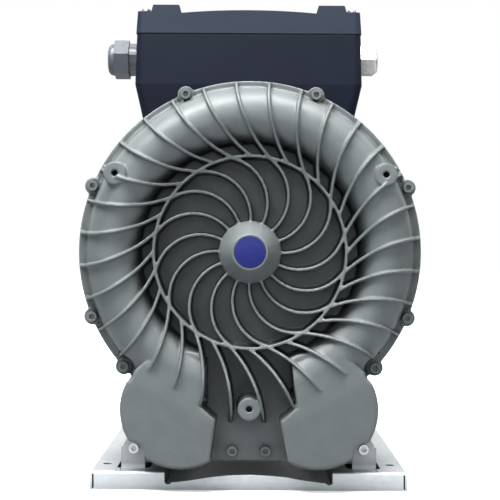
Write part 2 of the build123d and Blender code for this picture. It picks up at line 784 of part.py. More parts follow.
with BuildPart() as base_plate:
    with BuildSketch(floor_level(0)):
        with Locations((0, base_back - base_depth / 2)):
            Rectangle(2 * base_half_width, base_depth)
    extrude(amount=base_height)
    top_edges = base_plate.edges().group_by(Axis.Z)[-1]
    fillet(top_edges, base_sheet)
    with BuildSketch(floor_level(0)):
        with Locations((0, base_back - base_depth / 2)):
            Rectangle(inner_width, base_depth - 2 * base_sheet)
    extrude(amount=base_height - base_sheet, mode=Mode.SUBTRACT)
    # inner flanges of the two side strips
    with BuildSketch(floor_level(0)):
        with Locations(*both_sides(strip_inner + base_sheet / 2, base_back - base_depth / 2)):
            Rectangle(base_sheet, base_depth - 2 * base_sheet)
    extrude(amount=base_height - base_sheet / 2)
    with BuildSketch(floor_level(0)):
        with Locations((0, (base_back - rear_strip + base_sheet - base_front) / 2)):
            Rectangle(2 * strip_inner, base_depth - rear_strip - base_sheet)
    extrude(amount=base_height, mode=Mode.SUBTRACT)
    # free upper edge of the front flange: a shallow wave with a round notch at each end
    with BuildSketch(across(-base_front - 1)):
        with BuildLine():
            low = wave_low - axis_height
            high = wave_high - axis_height
            Spline((-strip_inner, low), (-strip_inner / 2, (low + high) / 2 + 1), (0, high),
                   (strip_inner / 2, (low + high) / 2 + 1), (strip_inner, low),
                   tangents=((1, 0), (1, 0)))
            Polyline((strip_inner, low), (strip_inner, 1 - axis_height + base_height),
                     (-strip_inner, 1 - axis_height + base_height), (-strip_inner, low))
        make_face()
        with Locations(*both_sides(strip_inner - wave_low / 2, low + wave_low / 4)):
            Circle(wave_low / 2)
    extrude(amount=-base_sheet - 1, mode=Mode.SUBTRACT)
    # relief slits at the front corners
    with BuildSketch(floor_level(0)):
        with Locations(*both_sides(base_half_width - base_sheet - flange_slit / 2,
                                   base_sheet / 2 - base_front)):
            Rectangle(flange_slit, base_sheet)
    extrude(amount=base_height - base_sheet, mode=Mode.SUBTRACT)
    # upright tabs, punched out of the strips and bent up
    for start, window in ((tab_behind, 1), (port_face, -1)):
        with BuildSketch(across(start)) as tab:
            for x, z in tabs:
                outward = x / abs(x)
                with Locations((x, z)):
                    Circle(tab_radius)
                with Locations((x + outward, (z + base_height - axis_height) / 2)):
                    Rectangle(2 * tab_radius + 2, z - base_height + base_sheet / 2 + axis_height)
        extrude(tab.sketch, amount=-base_sheet)
        with BuildSketch(floor_level(0)) as opening:
            edge = start + base_sheet if window > 0 else start
            with Locations(*both_sides(tab_x, edge + window * window_depth / 2)):
                Rectangle(2 * window_half, window_depth)
            with Locations(*both_sides(tab_x + tab_radius + 4, start + base_sheet / 2),
                           *both_sides(tab_x - tab_radius - 2, start + base_sheet / 2)):
                Rectangle(4, 2 * base_sheet)
        extrude(opening.sketch, amount=base_height, mode=Mode.SUBTRACT)
    studs(tabs, m6 + clearance, tab_behind, base_back - 1, Mode.SUBTRACT)
    with BuildSketch(floor_level(0)):
        with Locations(*both_sides(foot_x, foot_inset - base_front),
                       *both_sides(foot_x, base_back - foot_inset)):
            Circle(foot_hole)
    extrude(amount=base_height, mode=Mode.SUBTRACT)
save(base_plate, "base_plate")

# ---------------------------------------------------------------- screws of the casing
def socket_screws(seats, length, start, direction, name):
    """Socket head screws in one plane; direction is +1 when the shanks point rearwards."""
    with BuildPart() as screws:
        studs(seats, m6 - running_gap, start, start + direction * length)
        studs(seats, m6_head, start - direction * m6_head_height, start)
        with BuildSketch(across(start - direction * m6_head_height)) as sockets:
            with Locations(*seats):
                RegularPolygon(m6_socket, 6)
        extrude(sockets.sketch, amount=-direction * m6_head_height / 2, mode=Mode.SUBTRACT)
    save(screws, name)


socket_screws(flange_screws, casing_screw, -ear_height, 1, "cover_screws")
socket_screws(apron_screws, casing_screw - 6, -web_level, 1, "apron_screws")
socket_screws(silencer_screws, silencer_screw, silencer_start + silencer_flange, -1,
              "silencer_screws")
socket_screws(silencer_screws, silencer_screw, silencer_end + silencer_flange, -1,
              "port_flange_screws")
socket_screws(tabs, tab_screw, tab_behind, 1, "front_tab_screws")
socket_screws(tabs, tab_screw, port_face + base_sheet, -1, "rear_tab_screws")

with BuildPart() as hub_badge:
    turned([(0, -nose_face - badge_dome), (badge_radius / 2, -nose_face - badge_dome * 0.75),
            (badge_radius, -nose_face), (badge_radius, badge_seat - nose_face),
            (0, badge_seat - nose_face)])
save(hub_badge, "hub_badge")

# ---------------------------------------------------------------- terminal box
post = 6.5
post_depth = 40.0
lid_screws_at = [(box_x + x, box_middle + y) for x in (-lid_screw_x, lid_screw_x)
                 for y in (-lid_screw_y, lid_screw_y)]
lid_wall = 4.0


def box_section(height, inset, taper=0.0):
    """Rounded outline of the terminal box at a height above the shaft."""
    with BuildSketch(level(height)) as section:
        with Locations((box_x, box_middle)):
            RectangleRounded(2 * (box_half_width - inset - taper),
                             box_depth - 2 * inset - taper, box_corner - inset)
    return section.sketch


with BuildPart() as box_base:
    loft([box_section(box_foot, 0, box_taper), box_section(box_knee, 0)])
    loft([box_section(box_knee, 0), box_section(box_rim, 0, box_draft)])
    loft([box_section(box_foot + box_wall, box_wall, box_taper),
          box_section(box_knee, box_wall)], mode=Mode.SUBTRACT)
    loft([box_section(box_knee, box_wall), box_section(box_rim, box_wall, box_draft)],
         mode=Mode.SUBTRACT)
    with BuildSketch(level(box_rim)):
        with Locations(*lid_screws_at):
            Circle(post)
    extrude(amount=-post_depth)
    with BuildSketch(level(box_rim)):
        with Locations(*lid_screws_at):
            Circle(m5)
    extrude(amount=-post_depth + box_wall, mode=Mode.SUBTRACT)
    with BuildSketch(level(box_foot)):
        with Locations((box_x, pad_middle)):
            Circle(cable_way)
        with Locations(*floor_screws_at):
            Circle(m6 + clearance)
    extrude(amount=box_wall, mode=Mode.SUBTRACT)
    for side, radius in ((-1, left_gland_thread), (1, right_gland_thread)):
        with BuildSketch(gland_plane(side)) as entry:
            Circle(radius + running_gap)
        extrude(entry.sketch, amount=-2 * box_wall, mode=Mode.SUBTRACT)
save(box_base, "box_base")

with BuildPart() as lid_gasket:
    extrude(box_section(box_rim, 1.5, box_draft), amount=gasket_thickness)
    extrude(box_section(box_rim, box_wall, box_draft), amount=gasket_thickness,
            mode=Mode.SUBTRACT)
save(lid_gasket, "lid_gasket")

lid_base = box_rim + gasket_thickness
lid_half = box_half_width - box_draft + 0.5
band_round = 1.6

with BuildPart() as box_lid:
    with BuildSketch(across(box_front)):
        with BuildLine():
            Polyline((box_x + band_inner, lid_valley), (box_x + band_inner + 2, lid_band),
                     (box_x + band_outer - 2, lid_band), (box_x + band_outer, lid_edge),
                     (box_x + lid_half - 2, lid_edge), (box_x + lid_half, lid_base),
                     (box_x - lid_half, lid_base), (box_x - lid_half + 2, lid_edge),
                     (box_x - band_outer, lid_edge), (box_x - band_outer + 2, lid_band),
                     (box_x - band_inner - 2, lid_band), (box_x - band_inner, lid_valley))
            ThreePointArc((box_x - band_inner, lid_valley), (box_x, lid_crown),
                          (box_x + band_inner, lid_valley))
        make_face()
    extrude(amount=-box_depth)
    extrude(box_section(lid_base, 0.5), amount=lid_band - lid_base, mode=Mode.INTERSECT)
    fillet(box_lid.edges().filter_by(Axis.Y).group_by(Axis.Z)[-1], band_round)
    extrude(box_section(lid_base, box_wall), amount=lid_edge - lid_base - lid_wall,
            mode=Mode.SUBTRACT)
    with BuildSketch(level(lid_base)):
        with Locations(*lid_screws_at):
            Circle(post)
    extrude(amount=lid_edge - lid_base)
    with BuildSketch(level(lid_base)):
        with Locations(*lid_screws_at):
            Circle(m5 + clearance)
    extrude(amount=lid_band - lid_base, mode=Mode.SUBTRACT)
save(box_lid, "box_lid")

with BuildPart() as lid_screws:
    with BuildSketch(level(lid_edge)) as shanks:
        with Locations(*lid_screws_at):
            Circle(m5 - running_gap)
    extrude(shanks.sketch, amount=box_rim - lid_edge - post_depth / 2)
    with BuildSketch(level(lid_edge)) as heads:
        with Locations(*lid_screws_at):
            Circle(m5_head)
    extrude(heads.sketch, amount=m5_head_height)
save(lid_screws, "lid_screws")

with BuildPart() as box_floor_screws:
    with BuildSketch(level(box_foot + box_wall)) as shanks:
        with Locations(*floor_screws_at):
            Circle(m6 - running_gap)
    extrude(shanks.sketch, amount=-box_wall - casing_wall - 3)
    with BuildSketch(level(box_foot + box_wall)) as heads:
        with Locations(*floor_screws_at):
            Circle(m6_head)
    extrude(heads.sketch, amount=m6_head_height)
save(box_floor_screws, "box_floor_screws")

terminal_pitch = 18.0
with BuildPart() as terminal_block:
    with BuildSketch(level(box_foot + box_wall)):
        with Locations((box_x, box_front + box_depth * 0.75)):
            RectangleRounded(4 * terminal_pitch, 2 * terminal_pitch + 8, 4)
    extrude(amount=16)
    with BuildSketch(level(box_foot + box_wall + 16)):
        with Locations((box_x, box_front + box_depth * 0.75)):
            with GridLocations(terminal_pitch, 1, 2, 1):
                Rectangle(2, 2 * terminal_pitch + 6)
    extrude(amount=6)
save(terminal_block, "terminal_block")

with BuildPart() as terminal_studs:
    with BuildSketch(level(box_foot + box_wall + 16)) as places:
        with Locations((box_x, box_front + box_depth * 0.75)):
            with GridLocations(terminal_pitch, terminal_pitch, 3, 2):
                RegularPolygon(4.5, 6)
    extrude(places.sketch, amount=4)
    with BuildSketch(level(box_foot + box_wall + 16)) as threads:
        with Locations((box_x, box_front + box_depth * 0.75)):
            with GridLocations(terminal_pitch, terminal_pitch, 3, 2):
                Circle(m5 - running_gap)
    extrude(threads.sketch, amount=9)
save(terminal_studs, "terminal_studs")


def gland(side, name, thread, neck, neck_length, corner, nut_length, nose, turn):
    """Cable gland in one side of the box: body, dome nut, seal and locknut inside."""
    wall = gland_plane(side)
    opening = thread * 0.5
    with BuildPart() as body:
        with BuildSketch(wall) as stub:
            Circle(thread)
        extrude(stub.sketch, amount=-gland_stub)
        with BuildSketch(wall) as collar:
            RegularPolygon(neck, 6, rotation=turn)
        extrude(collar.sketch, amount=neck_length)
        extrude(stub.sketch, amount=neck_length + nut_length / 2)
        with BuildSketch(wall.offset(-gland_stub)) as way:
            Circle(thread - 3)
        extrude(way.sketch, amount=gland_stub + neck_length + nut_length, mode=Mode.SUBTRACT)
    save(body, f"gland_body_{name}")
    with BuildPart() as nut:
        with BuildSketch(wall.offset(neck_length)) as hexagon:
            RegularPolygon(corner, 6, rotation=turn)
        extrude(hexagon.sketch, amount=nut_length - nose)
        with BuildSketch(wall.offset(neck_length)) as dome:
            Circle(corner * dome_share)
        extrude(dome.sketch, amount=nut_length)
        rims = nut.edges().filter_by(GeomType.CIRCLE).sort_by(Axis.X)
        fillet(rims[-1 if side > 0 else 0], nose * dome_share)
        with BuildSketch(wall.offset(neck_length)) as inside:
            Circle(thread + running_gap)
        extrude(inside.sketch, amount=nut_length - nose, mode=Mode.SUBTRACT)
        with BuildSketch(wall.offset(neck_length)) as mouth:
            Circle(opening + 2)
        extrude(mouth.sketch, amount=nut_length, mode=Mode.SUBTRACT)
    save(nut, f"gland_nut_{name}")
    with BuildPart() as seal:
        with BuildSketch(wall.offset(neck_length + nut_length / 2)) as ring:
            Circle(thread - 1)
            Circle(opening, mode=Mode.SUBTRACT)
        extrude(ring.sketch, amount=nut_length / 2 - nose)
    save(seal, f"gland_seal_{name}")
    with BuildPart() as locknut:
        with BuildSketch(wall.offset(-box_wall - wall_lean)) as ring:
            RegularPolygon(thread + 5, 6, rotation=30)
            Circle(thread + running_gap, mode=Mode.SUBTRACT)
        extrude(ring.sketch, amount=-5)
    save(locknut, f"gland_locknut_{name}")


gland(-1, "left", left_gland_thread, 18.0, 8.8, 21.5, 23.2, 7.2, 10)
gland(1, "right", right_gland_thread, 17.0, 5.3, 17.2, 13.8, 4.0, 0)
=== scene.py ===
import json
import math

import bmesh
import bpy
from mathutils import Matrix, Vector


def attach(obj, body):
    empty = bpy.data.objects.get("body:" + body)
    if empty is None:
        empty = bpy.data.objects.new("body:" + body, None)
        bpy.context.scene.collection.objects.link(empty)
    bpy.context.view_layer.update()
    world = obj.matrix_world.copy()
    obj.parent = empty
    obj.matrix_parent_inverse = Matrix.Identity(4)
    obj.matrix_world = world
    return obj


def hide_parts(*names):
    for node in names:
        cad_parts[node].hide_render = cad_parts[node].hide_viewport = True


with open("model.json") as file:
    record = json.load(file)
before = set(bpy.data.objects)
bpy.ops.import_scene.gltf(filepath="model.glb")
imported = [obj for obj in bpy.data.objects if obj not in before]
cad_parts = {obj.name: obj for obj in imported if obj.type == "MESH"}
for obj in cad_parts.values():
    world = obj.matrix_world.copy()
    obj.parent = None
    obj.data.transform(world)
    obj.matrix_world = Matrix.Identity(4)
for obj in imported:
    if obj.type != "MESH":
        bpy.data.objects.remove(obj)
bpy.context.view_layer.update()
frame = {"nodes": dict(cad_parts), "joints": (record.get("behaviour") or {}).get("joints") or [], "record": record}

scene = bpy.context.scene
MM = 0.001

# the rotor's hinge lies where the shaft line crosses the joint face of cover and housing
rotor_hinge = next(joint for joint in frame["joints"] if joint["name"] == "rotor_spin")
_, JOINT_Y, AXIS_Z = rotor_hinge["pos_m"]
mounts = {mount["name"]: mount for mount in frame["record"]["mounts"]}


def add_object(name, data):
    """A new object of the scene that shows a mesh, a lamp or a camera."""
    thing = bpy.data.objects.new(name, data)
    scene.collection.objects.link(thing)
    return thing


# ---------------------------------------------------------------- camera, light and floor
def aim(thing, target, roll=0.0):
    """Turns a camera or a lamp towards a point."""
    direction = Vector(target) - thing.location
    turn = direction.to_track_quat("-Z", "Y").to_matrix()
    thing.rotation_euler = (turn @ Matrix.Rotation(roll, 3, "Z")).to_euler()


def softbox(name, place, target, width, height, power, tint=(1, 1, 1)):
    """A rectangular soft lamp of a studio, sizes in metres and power in watts."""
    lamp = bpy.data.lights.new(name, "AREA")
    lamp.shape = "RECTANGLE"
    lamp.size, lamp.size_y = width, height
    lamp.energy = power
    lamp.color = tint
    thing = add_object(name, lamp)
    thing.location = place
    aim(thing, target)


CAMERA_X = -0.002
CAMERA_AHEAD = 1.150          # of the joint face
CAMERA_ABOVE = 0.008          # of the shaft line
CAMERA_ROLL = math.radians(0.36)
SENSOR_WIDTH, FOCAL_LENGTH = 36, 82.8
SHIFT_X, SHIFT_Y = 0.004, -0.012

eye = bpy.data.cameras.new("front_camera")
eye.sensor_width = SENSOR_WIDTH
eye.lens = FOCAL_LENGTH
eye.shift_x, eye.shift_y = SHIFT_X, SHIFT_Y
eye.clip_start = 0.01
camera = add_object("front_camera", eye)
camera.location = (CAMERA_X, JOINT_Y - CAMERA_AHEAD, AXIS_Z + CAMERA_ABOVE)
aim(camera, (CAMERA_X, 0, AXIS_Z + CAMERA_ABOVE), roll=CAMERA_ROLL)
scene.camera = camera

MACHINE_MIDDLE = (0, -0.05, 0.25)
REAR_MIDDLE = (0, 0.1, 0.25)
COOL_TINT = (0.93, 1.0, 1.04)
softbox("key_upper_left", place=(-0.75, -0.75, 1.75), target=MACHINE_MIDDLE,
        width=0.8, height=0.8, power=60)
softbox("fill_right", place=(1.6, -0.7, 1.3), target=MACHINE_MIDDLE,
        width=1.0, height=1.2, power=10)
softbox("top_strip", place=(0.15, -0.45, 1.75), target=(0, -0.1, 0.2),
        width=1.3, height=0.6, power=58)
softbox("front_panel", place=(-0.3, -3.2, 1.2), target=MACHINE_MIDDLE,
        width=3.4, height=2.2, power=58, tint=COOL_TINT)
softbox("rear_left", place=(-2.0, 1.9, 1.7), target=REAR_MIDDLE,
        width=2.0, height=2.0, power=16)
softbox("rear_right", place=(2.0, 1.9, 1.5), target=REAR_MIDDLE,
        width=2.0, height=2.0, power=10)

scene.view_settings.view_transform = "Standard"


# ---------------------------------------------------------------- shader building
def feed(tree, socket, value):
    """Links a socket to another one, or sets it to a plain value."""
    if isinstance(value, bpy.types.NodeSocket):
        tree.links.new(value, socket)
    else:
        socket.default_value = value


def put(tree, kind, fields=None, **sockets):
    """Adds a node; a socket is set by its name, with _ for a space, to a value or a socket."""
    made = tree.nodes.new("ShaderNode" + kind)
    for field, value in (fields or {}).items():
        setattr(made, field, value)
    for name, value in sockets.items():
        feed(tree, made.inputs[name.replace("_", " ")], value)
    return made


def put_in_order(tree, kind, fields, *values):
    """Adds a node whose sockets are set by their order, since their names repeat."""
    made = put(tree, kind, fields)
    for socket, value in zip(made.inputs, values):
        feed(tree, socket, value)
    return made


def calc(tree, operation, a, b=0.0, clamp=False):
    """One step of arithmetic between two numbers or sockets."""
    fields = {"operation": operation, "use_clamp": clamp}
    return put_in_order(tree, "Math", fields, a, b).outputs[0]


def vector_calc(tree, operation, *values):
    return put_in_order(tree, "VectorMath", {"operation": operation}, *values)


def remap(tree, value, low, high, to_low=0.0, to_high=1.0):
    """Turns the range low to high into to_low to to_high, and holds it there outside."""
    made = put(tree, "MapRange", {"clamp": True}, Value=value, From_Min=low, From_Max=high,
               To_Min=to_low, To_Max=to_high)
    return made.outputs[0]


def blend_colours(tree, factor, a, b):
    made = put(tree, "Mix", {"data_type": "RGBA", "blend_type": "MIX", "clamp_factor": True})
    mix_factor, colour_a, colour_b = made.inputs[0], made.inputs[6], made.inputs[7]
    feed(tree, mix_factor, factor)
    for socket, colour in ((colour_a, a), (colour_b, b)):
        is_plain = isinstance(colour, tuple)
        feed(tree, socket, (*colour[:3], 1.0) if is_plain else colour)
    return made.outputs[2]


def dimmed(colour, share):
    return tuple(c * share for c in colour)


def lightened(colour, times):
    return tuple(min(1.0, c * times) for c in colour)


def object_place(tree):
    return put(tree, "TexCoord").outputs["Object"]


def split_axes(tree, vector):
    return put(tree, "SeparateXYZ", Vector=vector).outputs


def new_group(name, inputs, outputs):
    """An empty shader group with named sockets: its tree, its inputs and its output node."""
    tree = bpy.data.node_groups.new(name, "ShaderNodeTree")
    for label, kind, value in inputs:
        socket = tree.interface.new_socket(label, in_out="INPUT", socket_type="NodeSocket" + kind)
        socket.default_value = value
    for label, kind in outputs:
        tree.interface.new_socket(label, in_out="OUTPUT", socket_type="NodeSocket" + kind)
    return tree, tree.nodes.new("NodeGroupInput").outputs, tree.nodes.new("NodeGroupOutput")


def use(tree, group, **sockets):
    """Places a shared group in a material and returns its outputs."""
    made = tree.nodes.new("ShaderNodeGroup")
    made.node_tree = group
    for name, value in sockets.items():
        feed(tree, made.inputs[name.replace("_", " ")], value)
    return made.outputs


# ---------------------------------------------------------------- shared surface effects
def build_rounded_edges():
    """Edge normals as if every corner had a small radius, and masks of corners and hollows; finishes use the
    crevice and hollow masks for painted shade and the corner mask for painted highlights.
    """
    tree, given, out = new_group(
        "rounded_edges",
        [("Radius", "Float", 0.0008), ("Wear Scale", "Float", 900.0), ("Wear", "Float", 0.5)],
        [("Normal", "Vector"), ("Edge", "Float"), ("Worn", "Float"), ("Crevice", "Float"),
         ("Hollow Shade", "Float")])
    crevice_reach, hollow_reach = 0.012, 0.055
    wear_contrast = 8.0
    bevel = put(tree, "Bevel", {"samples": 6}, Radius=given["Radius"])
    true_normal = put(tree, "NewGeometry").outputs["Normal"]
    match = vector_calc(tree, "DOT_PRODUCT", bevel.outputs[0], true_normal)
    bent = remap(tree, match.outputs["Value"], 1.0, 0.88)
    # near occlusion: its Crevice mask darkens finishes as painted shade, and also gathers dust
    near = put(tree, "AmbientOcclusion", {"samples": 8}, Distance=crevice_reach)
    open_air = remap(tree, near.outputs["AO"], 0.35, 0.8)
    edge = calc(tree, "MULTIPLY", bent, open_air)
    nicks = put(tree, "TexNoise", Vector=object_place(tree), Scale=given["Wear Scale"],
                Detail=5.0, Roughness=0.65)
    threshold = remap(tree, given["Wear"], 0.0, 1.0, 0.75, 0.35)
    above = calc(tree, "SUBTRACT", nicks.outputs[0], threshold, clamp=True)
    nicked = calc(tree, "MULTIPLY", above, wear_contrast, clamp=True)
    worn = calc(tree, "MULTIPLY", edge, nicked, clamp=True)
    # wide occlusion: its mask darkens finishes as painted shade in hollows
    wide = put(tree, "AmbientOcclusion", {"samples": 8}, Distance=hollow_reach)
    feed(tree, out.inputs["Normal"], bevel.outputs[0])
    feed(tree, out.inputs["Edge"], edge)
    feed(tree, out.inputs["Worn"], worn)
    feed(tree, out.inputs["Crevice"], calc(tree, "SUBTRACT", 1.0, open_air))
    feed(tree, out.inputs["Hollow Shade"], remap(tree, wide.outputs["AO"], 0.78, 0.30))
    return tree


def build_cast_skin():
    """Cast surface under paint: broad waviness, sand grain and fine orange peel."""
    tree, given, out = new_group(
        "cast_skin",
        [("Waves", "Float", 60.0), ("Grain", "Float", 700.0), ("Peel", "Float", 2600.0),
         ("Grain Share", "Float", 0.5)],
        [("Height", "Float"), ("Tone", "Float")])
    wave_share, peel_share = 1.4, 0.18
    place = object_place(tree)
    waves = put(tree, "TexNoise", Vector=place, Scale=given["Waves"], Detail=2.0, Roughness=0.4)
    grain = put(tree, "TexNoise", Vector=place, Scale=given["Grain"], Detail=4.0, Roughness=0.6)
    peel = put(tree, "TexNoise", Vector=place, Scale=given["Peel"], Detail=1.0, Roughness=0.5)
    coarse = calc(tree, "ADD", calc(tree, "MULTIPLY", waves.outputs[0], wave_share),
                  calc(tree, "MULTIPLY", grain.outputs[0], given["Grain Share"]))
    height = calc(tree, "ADD", coarse, calc(tree, "MULTIPLY", peel.outputs[0], peel_share))
    feed(tree, out.inputs["Height"], height)
    feed(tree, out.inputs["Tone"], waves.outputs[0])
    return tree


def build_rolled_sheet():
    """Zinc coated sheet: rolling streaks along one direction and soft crystal patches."""
    tree, given, out = new_group(
        "rolled_sheet",
        [("Stretch", "Vector", (40.0, 900.0, 900.0)), ("Spangle", "Float", 160.0)],
        [("Streak", "Float"), ("Spangle", "Float"), ("Scuff", "Float")])
    place = object_place(tree)
    scaled = vector_calc(tree, "MULTIPLY", place, given["Stretch"])
    streak = put(tree, "TexNoise", Vector=scaled.outputs[0], Scale=1.0, Detail=5.0, Roughness=0.6)
    cells = put(tree, "TexVoronoi", {"feature": "SMOOTH_F1"}, Vector=place,
                Scale=given["Spangle"], Smoothness=0.25)
    grey = put(tree, "RGBToBW", Color=cells.outputs["Color"])
    scuff = put(tree, "TexNoise", Vector=place, Scale=24.0, Detail=6.0, Roughness=0.62,
                Distortion=0.6)
    feed(tree, out.inputs["Streak"], streak.outputs[0])
    feed(tree, out.inputs["Spangle"], grey.outputs[0])
    feed(tree, out.inputs["Scuff"], remap(tree, scuff.outputs[0], 0.42, 0.68))
    return tree


def build_moulded_grain():
    """Fine spark-eroded texture of moulded and powder coated surfaces."""
    tree, given, out = new_group(
        "moulded_grain", [("Scale", "Float", 1500.0), ("Blotch", "Float", 30.0)],
        [("Height", "Float"), ("Tone", "Float")])
    pit_share, fine_share = 0.6, 0.5
    place = object_place(tree)
    pits = put(tree, "TexVoronoi", {"feature": "F1"}, Vector=place, Scale=given["Scale"])
    fine = put(tree, "TexNoise", Vector=place, Scale=given["Scale"], Detail=3.0, Roughness=0.6)
    blotch = put(tree, "TexNoise", Vector=place, Scale=given["Blotch"], Detail=3.0, Roughness=0.5)
    height = calc(tree, "ADD", calc(tree, "MULTIPLY", pits.outputs["Distance"], pit_share),
                  calc(tree, "MULTIPLY", fine.outputs[0], fine_share))
    feed(tree, out.inputs["Height"], height)
    feed(tree, out.inputs["Tone"], blotch.outputs[0])
    return tree


def build_settled_dust():
    """Thin dust: a little on what faces up, and in hollows, broken up by noise."""
    tree, given, out = new_group(
        "settled_dust", [("Amount", "Float", 0.3), ("Crevice", "Float", 0.0)], [("Mask", "Float")])
    crevice_share = 0.5
    facing = split_axes(tree, put(tree, "NewGeometry").outputs["Normal"])
    upward = remap(tree, facing["Z"], 0.35, 1.0)
    patches = put(tree, "TexNoise", Vector=object_place(tree), Scale=35.0, Detail=7.0,
                  Roughness=0.7)
    broken = remap(tree, patches.outputs[0], 0.35, 0.7)
    caught = calc(tree, "MULTIPLY", given["Crevice"], crevice_share)
    lying = calc(tree, "MULTIPLY", calc(tree, "ADD", upward, caught, clamp=True), broken)
    feed(tree, out.inputs["Mask"], calc(tree, "MULTIPLY", lying, given["Amount"], clamp=True))
    return tree


def build_turned_rings():
    """Fine turning grooves round the shaft line, for lathe-cut faces."""
    tree, given, out = new_group(
        "turned_rings", [("Pitch", "Float", 2500.0), ("Centre", "Vector", (0.0, 0.0, AXIS_Z))],
        [("Height", "Float"), ("Sweep", "Float")])
    across_shaft = (1, 0, 1)
    place = object_place(tree)
    moved = vector_calc(tree, "SUBTRACT", place, given["Centre"])
    flat = vector_calc(tree, "MULTIPLY", moved.outputs[0], across_shaft)
    reach = vector_calc(tree, "LENGTH", flat.outputs[0]).outputs["Value"]
    groove = put(tree, "TexNoise", {"noise_dimensions": "1D"}, Detail=2.0, Roughness=0.7,
                 Scale=1.0, W=calc(tree, "MULTIPLY", reach, given["Pitch"]))
    soft = put(tree, "TexNoise", Vector=place, Scale=60.0, Detail=3.0)
    feed(tree, out.inputs["Height"], groove.outputs[0])
    feed(tree, out.inputs["Sweep"], soft.outputs[0])
    return tree


rounded_edges = build_rounded_edges()
cast_skin = build_cast_skin()
rolled_sheet = build_rolled_sheet()
moulded_grain = build_moulded_grain()
settled_dust = build_settled_dust()
turned_rings = build_turned_rings()


# ---------------------------------------------------------------- finishes
PAINT_DUST, PLASTIC_DUST, METAL_DUST = (0.33, 0.32, 0.30), (0.35, 0.34, 0.33), (0.3, 0.29, 0.27)
BARE_CASTING = (0.42, 0.44, 0.45)


def new_finish(name):
    finish = bpy.data.materials.new(name)
    finish.use_nodes = True
    tree = finish.node_tree
    tree.nodes.clear()
    surface = put(tree, "BsdfPrincipled")
    put(tree, "OutputMaterial", Surface=surface.outputs[0])
    return finish, tree, surface


def give_bump(tree, surface, height, distance, normal):
    bump = put(tree, "Bump", Strength=1.0, Distance=distance, Height=height, Normal=normal)
    feed(tree, surface.inputs["Normal"], bump.outputs[0])


def cast_paint(name, colour, deep, rough, radius=0.0009, wear=0.25, dust=0.12, grain=0.5,
               bare=BARE_CASTING, hollow_shade=0.3):
    """Satin paint over a casting: mottled tone, worn corners that show metal, painted shade darkening hollows and
    crevices, and a faint painted highlight on corners.
    """
    skin_depth = 0.00035
    crevice_share, edge_highlight_share, worn_metal, dust_roughness = 0.35, 0.06, 0.8, 0.3
    finish, tree, surface = new_finish(name)
    edges = use(tree, rounded_edges, Radius=radius, Wear=wear)
    skin = use(tree, cast_skin, Grain_Share=grain)
    dirt = use(tree, settled_dust, Amount=dust, Crevice=edges["Crevice"])
    mottled = blend_colours(tree, remap(tree, skin["Tone"], 0.3, 0.7), deep, colour)
    # painted shade: colour darkened towards near black in wide hollows
    shaded = blend_colours(tree, calc(tree, "MULTIPLY", edges["Hollow Shade"], hollow_shade), mottled,
                           dimmed(deep, 0.10))
    # painted shade: colour darkened in narrow crevices
    hollows = blend_colours(tree, calc(tree, "MULTIPLY", edges["Crevice"], crevice_share), shaded,
                            dimmed(deep, 0.45))
    # painted highlight: corners lightened towards a brighter paint colour
    edge_highlighted = blend_colours(tree, calc(tree, "MULTIPLY", edges["Edge"], edge_highlight_share), hollows,
                           lightened(colour, 1.9))
    dusty = blend_colours(tree, dirt["Mask"], edge_highlighted, PAINT_DUST)
    worn = calc(tree, "MULTIPLY", edges["Worn"], wear)
    feed(tree, surface.inputs["Base Color"], blend_colours(tree, worn, dusty, bare))
    feed(tree, surface.inputs["Metallic"], calc(tree, "MULTIPLY", worn, worn_metal))
    patchy = remap(tree, skin["Tone"], 0.25, 0.75, rough - 0.06, rough + 0.07)
    dulled = calc(tree, "ADD", patchy, calc(tree, "MULTIPLY", dirt["Mask"], dust_roughness))
    feed(tree, surface.inputs["Roughness"], dulled)
    surface.inputs["Specular IOR Level"].default_value = 0.42
    give_bump(tree, surface, skin["Height"], skin_depth, edges["Normal"])
    return finish


def moulded(name, colour, rough, scale=1500.0, bump=0.00006, radius=0.0006, dust=0.1,
            gloss=0.5):
    """Powder coat or moulded plastic with an eroded grain, and a painted highlight on its corners."""
    highlight_share = 0.3
    finish, tree, surface = new_finish(name)
    edges = use(tree, rounded_edges, Radius=radius, Wear=0.1)
    grain = use(tree, moulded_grain, Scale=scale)
    dirt = use(tree, settled_dust, Amount=dust, Crevice=edges["Crevice"])
    base = blend_colours(tree, grain["Tone"], dimmed(colour, 0.85), dimmed(colour, 1.15))
    # painted highlight: corners lightened towards a brighter colour
    edge_lit = blend_colours(tree, calc(tree, "MULTIPLY", edges["Edge"], highlight_share), base,
                           lightened(colour, 2.2))
    feed(tree, surface.inputs["Base Color"],
         blend_colours(tree, dirt["Mask"], edge_lit, PLASTIC_DUST))
    feed(tree, surface.inputs["Roughness"],
         remap(tree, grain["Tone"], 0.3, 0.7, rough - 0.05, rough + 0.06))
    surface.inputs["Specular IOR Level"].default_value = gloss
    give_bump(tree, surface, grain["Height"], bump, edges["Normal"])
    return finish


